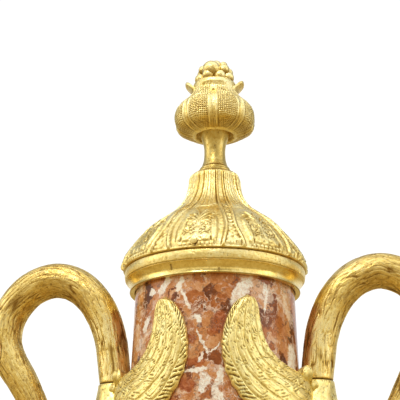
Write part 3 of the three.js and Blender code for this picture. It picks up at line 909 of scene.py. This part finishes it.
def wing(front):
    """A wing laid on the marble: the sheet between its two edges, lifted by its thickness, with
    long feathers side by side. Each is a low round between fine grooves, with short slanting
    cuts, uneven in depth and strongest along the lower edge."""
    stations, across, under = 200, 104, 10
    s = steps(stations)
    upper, lower = flow(WING_UPPER, stations), flow(WING_LOWER, stations)
    t = np.r_[np.linspace(0, 1, across), np.linspace(1, 0, under + 2)[1:-1]][None]
    outside = np.arange(across + under) < across
    notch = ease((s - 0.08) / 0.1) * ease((0.9 - s) / 0.2)
    fringe = notch * 0.02 * np.abs(np.sin(np.pi * s * 15)) * ease((t - 0.8) / 0.2)
    tt = t - fringe
    lie = tt ** (1.0 + 0.25 * (1 - s))
    psi, z = (upper[:, k:k + 1] * (1 - lie) + lower[:, k:k + 1] * lie for k in (0, 1))
    psi = np.radians(psi)

    count = WING_FEATHERS + 1
    drift = grain(s, tt, 9, 5, 61) * 0.16
    lane = tt * count + drift * ease(tt * 6) * ease((1 - tt) * 6)
    cell = lane % 1 - 0.5
    last = ease((lane - count + 1.25) / 0.3)
    groove = bell(0.5 - np.abs(cell), 0.06) * ease(lane / 0.3)
    groove = groove * (0.7 + 0.3 * grain(s, tt, 14, 7, 66))
    shaft = bell(cell + 0.06, 0.05) * (0.35 + 0.3 * last)
    phase = s * 38 - 2.6 * cell + 0.5 * grain(s, tt, 30, 8, 63)
    stray = 0.5 + 0.5 * grain(s, tt, 46, 12, 62)
    barbs = bell(phase % 1 - 0.5, 0.2) * ease((stray - 0.44 + 0.36 * last) / 0.26)
    barbs = barbs * (0.7 + 0.3 * last) * ease((0.44 - np.abs(cell)) / 0.1)
    inner = ease((s - 0.03) / 0.05) * ease((1.0 - s) / 0.04)
    edge = ease(np.minimum(t, 1 - t) / 0.035)
    body = 2.5 + 5.4 * (1 - ease(s * 2.3)) * ease(tt * 6 + 0.2) + 1.9 * np.sin(np.pi * t)
    swell = 0.42 * np.sqrt(np.clip(1 - (1.95 * cell) ** 2, 0, 1))
    stringy = 0.15 * grain(s, tt, 26, 44, 64)
    relief = inner * edge * (swell - 0.55 * groove - 0.14 * shaft - 0.55 * barbs + stringy)
    lift = (body + relief) * (0.35 + 0.65 * edge)
    tip_down = ease((1.0 - s) / 0.05)
    lift = np.where(outside, lift * (0.45 + 0.55 * tip_down), 0.2)
    # painted shade in the grooves and slanting cuts and on the underside, a painted highlight on
    # the raised strings, lifted slightly overall
    shade = np.where(outside, inner * edge * np.clip(
        0.85 * groove + 1.7 * barbs - 1.4 * stringy - 0.32, -0.6, 1), 0.6)
    return polar(marble_radius(z) + lift, psi, z) * (1, -front, 1), shade


def shoulder_knob(front, centre, wide, tall):
    """A knuckle where a wing starts beside the neck: a leaning, faintly twisted egg."""
    up, w = globe(22, 30, 0.96)
    twist = 1 + 0.13 * np.cos(4 * w + 3 * up)
    lean = np.radians(-28)
    spin = np.array([[np.cos(lean), 0, -np.sin(lean)], [0, 1, 0],
                     [np.sin(lean), 0, np.cos(lean)]])
    place = np.array(centre) * (1, -front, 1)
    # painted shade on the knuckle, darkest in its twist grooves
    return egg(wide * twist, tall, up, w) @ spin.T + place, np.clip(0.62 - 0.5 * twist, 0, 1)


def swan_body(side):
    """The breast, and on its front and back a wing with three knuckles at its start."""
    shapes = [breast(), wing(1), wing(-1)]
    for front in (1, -1):
        for centre, wide, tall in (((57.2, 17.6, 214.4), 4.4, 6.0),
                                   ((61.4, 12.6, 208.4), 3.4, 4.0),
                                   ((53.0, 24.6, 208.6), 3.1, 3.6)):
            shapes.append(shoulder_knob(front, centre, wide, tall))
    return mirrored(shapes, side)


# ---- the lower part ----
def calyx():
    """A cup of broad leaves: its profile turned, drawn in and lower between the leaves, then down
    inside along the marble."""
    outer = flow([(17, 94), (24, 96.2), (37, 102.6), (47.4, 113), (52.6, 124)], 46)
    w = angles(CALYX_LEAVES * 28)
    r, z = outer[:, :1], outer[:, 1:2]
    rise = np.clip((z - FOOT_TOP) / (CALYX_TOP - FOOT_TOP), 0, 1)
    leaf = 0.5 + 0.5 * np.cos(CALYX_LEAVES * w)
    veins = (0.9 * bell(np.abs(np.sin(CALYX_LEAVES * w / 2)), 0.17)
             + 0.3 * np.cos(5 * CALYX_LEAVES * w) * leaf)
    reach = r * (1 - 0.05 * rise * (1 - leaf)) + 1.1 * ease(rise * 3) * (veins - 0.4)
    tip = -4.5 * (1 - leaf) * ease((rise - 0.5) * 2)
    first = polar(reach, w, z + tip)
    down = steps(26)
    inside_z = first[-1, :, 2] * (1 - down) + (CALYX_FLOOR - 0.02) * down
    inside = polar(marble_radius(inside_z) + 0.15, w, inside_z)
    # painted shade between the leaves and inside the cup, a painted highlight on the veins
    shade = np.r_[np.clip(0.8 - 1.2 * leaf - 0.9 * veins, -0.3, 0.9) * ease(rise * 2),
                  np.full(inside_z.shape, 0.7)]
    return skin(np.r_[first, inside], shade)


def foot():
    """A laurel torus, a sweep up to the stem and a ring, turned; leaves overlap round the torus."""
    torus = flow([(46.2, 40.4), (48.6, 42.6), (49.3, 46.5), (48.6, 50.2), (45.4, 53),
                  (42.6, 53.6)], 40)
    sweep = flow([(40.4, 55.4), (33, 59.2), (25.6, 64.4), (20.4, 70), (17.6, 76),
                  (16.5, 81.4)])
    start = corner((44, PLINTH_TOP), (46, PLINTH_TOP), torus[1], cut=0.2)[:-1]
    fillet = corner(torus[-1], (41.2, 53.8), (41.2, 55.3), sweep[0], cut=0.2)[1:-1]
    ring = flow([(17.2, 82.6), (19.4, 83.4), (20.5, 86.2), (19.4, 89), (17.2, 89.8)], 24)
    end = corner(ring[-1], (16.0, 90.2), (15.6, 91), (15.6, FOOT_TOP), (14, FOOT_TOP),
                 cut=0.3)[1:]
    profile = np.r_[start, torus[1:], fillet, sweep, ring, end]
    z = profile[:, 1:2]
    w = angles(240)
    on = ease((z - 41) / 2) * ease((53.2 - z) / 2)
    rise = (z - 46.6) / 6
    leaf = (w * LAUREL_LEAVES / (2 * np.pi) + 0.45 * np.abs(rise)) % 1
    relief = on * (0.9 * leaf - 0.5 - 0.35 * bell(np.abs(rise) - 0.5, 0.07))
    # painted shade where each laurel leaf tucks under the one before
    return turn(profile, len(w), relief, on * np.clip(1 - 1.6 * leaf, 0, 1))


def square_turn(profile, softness):
    """A profile of (half width, height) carried round a square whose corners are rounded by
    softness."""
    half, z = profile[:, :1], profile[:, 1:2]
    bends = []
    for k, signs in enumerate(((1, 1), (-1, 1), (-1, -1), (1, -1))):
        a = np.pi / 2 * k + np.linspace(0, np.pi / 2, 6)
        bends.append(signs * (half - softness)[..., None]
                     + softness * np.stack([np.cos(a), np.sin(a)], -1))
    t = steps(16)[1:-1]
    ring = []
    for bend, following in zip(bends, bends[1:] + bends[:1]):
        ring += [bend, bend[:, -1:] * (1 - t) + following[:, :1] * t]
    xy = np.concatenate(ring, 1)
    return skin(np.dstack([xy, z + 0 * xy[..., 0]]))


def plinth():
    """A square block with softened edges."""
    half = PLINTH_SIZE / 2
    return square_turn(corner((half - 3, BASE_TOP), (half, BASE_TOP), (half, PLINTH_TOP),
                              (half - 3, PLINTH_TOP), cut=0.7), 0.8)


def base_plate():
    """A stepped plate: a plain edge, a quarter round and a narrow shelf."""
    half = BASE_SIZE / 2
    quarter = flow([(half - 0.9, 3.3), (half - 1.2, 4.4), (half - 2.2, 5.3), (half - 3.4, 5.6)], 10)
    edge = corner((half - 3, 0), (half - 0.6, 0), (half, 0.6), (half, 3.1), quarter[0],
                  cut=0.25)
    end = corner(quarter[-1], (half - 3.6, BASE_TOP), (half - 8, BASE_TOP), cut=0.2)
    return square_turn(np.r_[edge[:-1], quarter, end[1:]], 0.7)


make_piece("base_plate_moulding", [base_plate()], burnished, "base_plate")
make_piece("plinth_block", [plinth()], plinth_marble, "plinth")
make_piece("laurel_foot", [foot()], gilt, "foot")
make_piece("leaf_calyx", [calyx()], gilt, "calyx")
make_piece("marble_vessel", [marble_body()], red_marble, "marble_body")
make_piece("polished_collar", [rim_collar()], burnished, "rim_collar")
make_piece("chased_lid", [lid_dome()], gilt, "lid_dome")
make_piece("hem_studs", hem_studs(), gilt, "lid_dome")
make_piece("bud_finial", [bud()], gilt, "finial")
make_piece("bud_stem", [bud_stem()], plain_gilt, "finial")
make_piece("berry_cluster", [petals(), *berries()], gilt, "finial")
for word, side in (("left", -1), ("right", 1)):
    make_piece(f"winged_breast_{word}", swan_body(side), feathered, f"swan_body_{word}")
    make_piece(f"looped_neck_{word}", swan_neck(side), hairline, f"swan_neck_{word}")


# ---- the room ----
def make_floor():
    """A wide floor under the plinth, pale to the camera and dark warm brown in reflections, where
    the brown is painted shade.
    """
    mesh = bpy.data.meshes.new("floor")
    reach = 8.0
    mesh.from_pydata([(-reach, -reach, 0), (reach, -reach, 0), (reach, reach, 0),
                      (-reach, reach, 0)], [], [(0, 1, 2, 3)])
    floor = add_object("floor", mesh)
    material, tree, inputs = shader("pale_floor")
    # reflections see painted shade, dark warm brown, for the shade beneath the urn; the camera sees
    # the floor pale
    seen = node(tree, "LightPath", "Is Camera Ray")
    feed(mix(seen, (0.52, 0.4, 0.18), (0.92, 0.9, 0.87)), inputs["Base Color"])
    feed(0.6, inputs["Roughness"])
    mesh.materials.append(material)


def make_light(name, place, size, power):
    """A soft white rectangular light of the given size, facing the middle of the urn."""
    data = bpy.data.lights.new(name, "AREA")
    data.shape = "RECTANGLE"
    data.size, data.size_y = size
    data.energy = power
    light = add_object(name, data)
    place = Vector(place)
    facing = (place - Vector((0, 0, 0.3))).to_track_quat("Z", "Y").to_matrix().to_4x4()
    light.matrix_world = Matrix.Translation(place) @ facing


def make_room():
    """Pure white behind the urn; round it a soft light that is brightest from above and both
    sides, dimmer ahead, and warm and low from beneath."""
    world = bpy.data.worlds.new("studio")
    scene.world = world
    world.use_nodes = True
    tree = world.node_tree
    tree.nodes.clear()
    way = node(tree, "SeparateXYZ", "Z",
               Vector=node(tree, "TexCoord", "Generated"))
    away = way.out("Y") * 0.5 + 0.5
    height = ramp(way * 0.5 + 0.5, (0.0, (0.22, 0.15, 0.05)), (0.32, (0.48, 0.36, 0.17)),
                  (0.45, (0.76, 0.63, 0.38)), (0.54, (1.05, 1.02, 0.92)), (0.61, 1.1),
                  (0.82, (0.92, 0.95, 1.04)), (0.9, (1.28, 1.33, 1.48)),
                  (1.0, (1.22, 1.25, 1.32)), between="LINEAR")
    sides = ramp(away, (0.15, 1.0), (0.33, 1.15), (0.48, 1.2), (0.58, 0.85), (0.7, 0.45),
                 (0.8, 0.5), (0.88, 0.8), (1.0, 0.95), between="LINEAR")
    gap = ramp(way, (0.19, 0), (0.28, 1), (0.46, 1), (0.62, 0))
    ahead = ramp(away, (0.05, (0.52, 0.57, 0.66)), (0.18, 0))
    dim = mix(1.0, (1, 1, 1), mix(1.0, gap, ahead, "MULTIPLY"), "SUBTRACT")
    glow = mix(1.0, mix(1.0, height, sides, "MULTIPLY"), dim, "MULTIPLY")
    both = node(tree, "MixShader", 0, {0: node(tree, "LightPath", "Is Camera Ray"),
                                       1: node(tree, "Background", Color=glow, Strength=0.92),
                                       2: node(tree, "Background", Color=(1, 1, 1, 1))})
    feed(both, tree.nodes.new("ShaderNodeOutputWorld").inputs["Surface"])
    make_light("front_soft", (-0.3, -1.0, 1.35), (0.3, 0.3), 4)
    make_light("left_soft", (-1.15, -0.3, 0.7), (0.4, 0.8), 1.0)
    make_light("right_soft", (1.15, -0.25, 0.6), (0.4, 0.8), 0.7)
    view = scene.view_settings
    view.view_transform = "Standard"
    view.look = "None"
    view.exposure = 0.1
    view.gamma = 0.84


make_floor()
make_room()
